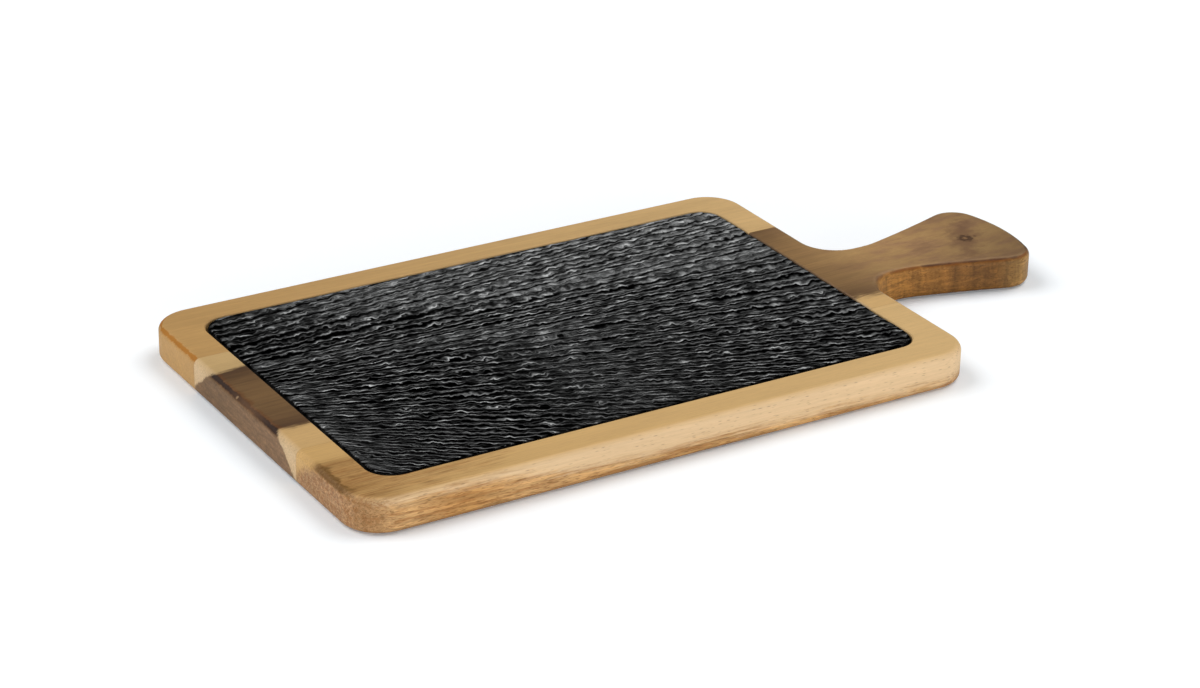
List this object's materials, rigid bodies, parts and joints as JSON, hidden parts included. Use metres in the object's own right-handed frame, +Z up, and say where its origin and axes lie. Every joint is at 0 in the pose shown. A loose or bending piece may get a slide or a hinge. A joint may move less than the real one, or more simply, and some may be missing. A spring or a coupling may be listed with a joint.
{
  "type": "serving board",
  "caption": "Flat rectangular wooden serving board of edge-glued staves with a flared handle at one end and a lift-out riven slate plate set in a shallow recess.",
  "frame": {"origin": "middle of the underside's bounding box, handle included, on the surface that the board rests on", "axes": "+X along the board towards the handle, +Y across the staves towards the far side, +Z up"},
  "size_m": [0.44, 0.23, 0.0185],
  "materials": {
    "far_stave_wood": "satin",
    "handle_stave_wood": "satin",
    "near_stave_wood": "satin",
    "wood_glue": "matte",
    "slate": "matte"
  },
  "bodies": {
    "board": {"far_stave": "far_stave_wood", "handle_stave": "handle_stave_wood", "near_stave": "near_stave_wood", "far_glue_line": "wood_glue", "near_glue_line": "wood_glue"},
    "slate": {"slate_inlay": "slate"}
  },
  "joints": [
    {"name": "slate_lift", "type": "slide", "parent": "board", "child": "slate", "axis": [0, 0, 1], "range_m": [0, 0.06]}
  ]
}
